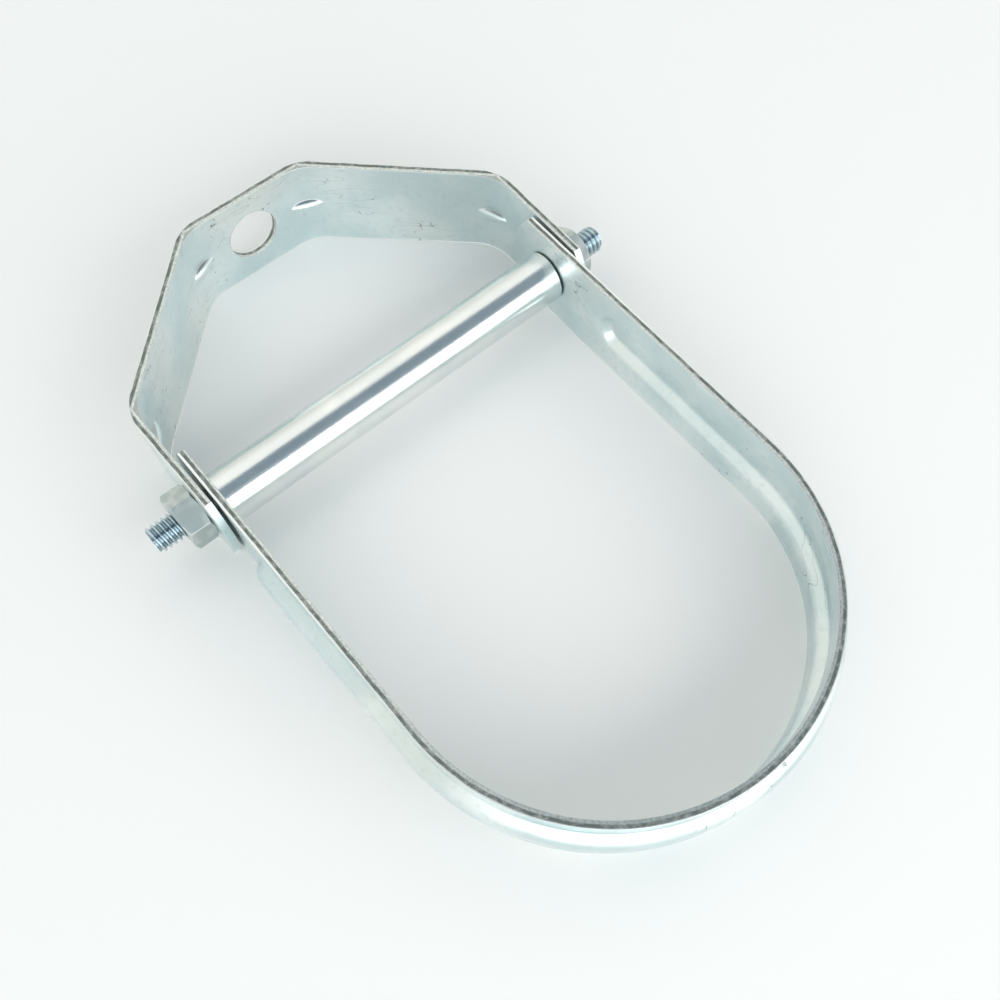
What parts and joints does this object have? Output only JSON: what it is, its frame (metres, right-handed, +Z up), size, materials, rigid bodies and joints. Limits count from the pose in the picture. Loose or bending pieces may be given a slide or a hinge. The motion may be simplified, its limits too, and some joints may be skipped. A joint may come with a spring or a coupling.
{
  "type": "clevis pipe hanger",
  "caption": "Clevis pipe hanger: bent yoke with a rod hole, ribbed U strap swinging on a threaded cross stud with hex nuts, and a spacer tube between the strap's legs.",
  "frame": {"origin": "centre of the rod hole on the top face of the yoke's flat", "axes": "+Z up along the hanger rod, +X along the cross stud, +Y along the pipe that lies in the strap"},
  "size_m": [0.1894, 0.034, 0.2652],
  "materials": {
    "zinc_strip": "bright zinc plate on rolled strip, fine rolling lines",
    "zinc_tube": "bright zinc plate, near-mirror drawn tube",
    "zinc_thread": "zinc plate with a bluish passivation on rolled thread",
    "zinc_nut": "dull grey-white zinc plate"
  },
  "bodies": {
    "yoke": {"upper_yoke": "zinc_strip"},
    "strap": {"lower_strap": "zinc_strip"},
    "stud": {"cross_stud": "zinc_thread", "left_nut": "zinc_nut", "right_nut": "zinc_nut"},
    "spacer": {"spacer_tube": "zinc_tube"}
  },
  "joints": [
    {"name": "strap_swing", "type": "hinge", "parent": "yoke", "child": "strap", "pos_m": [0, 0, -0.08], "axis": [1, 0, 0], "range_deg": [-118, 118]},
    {"name": "stud_spin", "type": "hinge", "parent": "yoke", "child": "stud", "pos_m": [0, 0, -0.08], "axis": [1, 0, 0], "continuous": true},
    {"name": "spacer_spin", "type": "hinge", "parent": "stud", "child": "spacer", "pos_m": [0, 0, -0.08143], "axis": [1, 0, 0], "continuous": true}
  ]
}
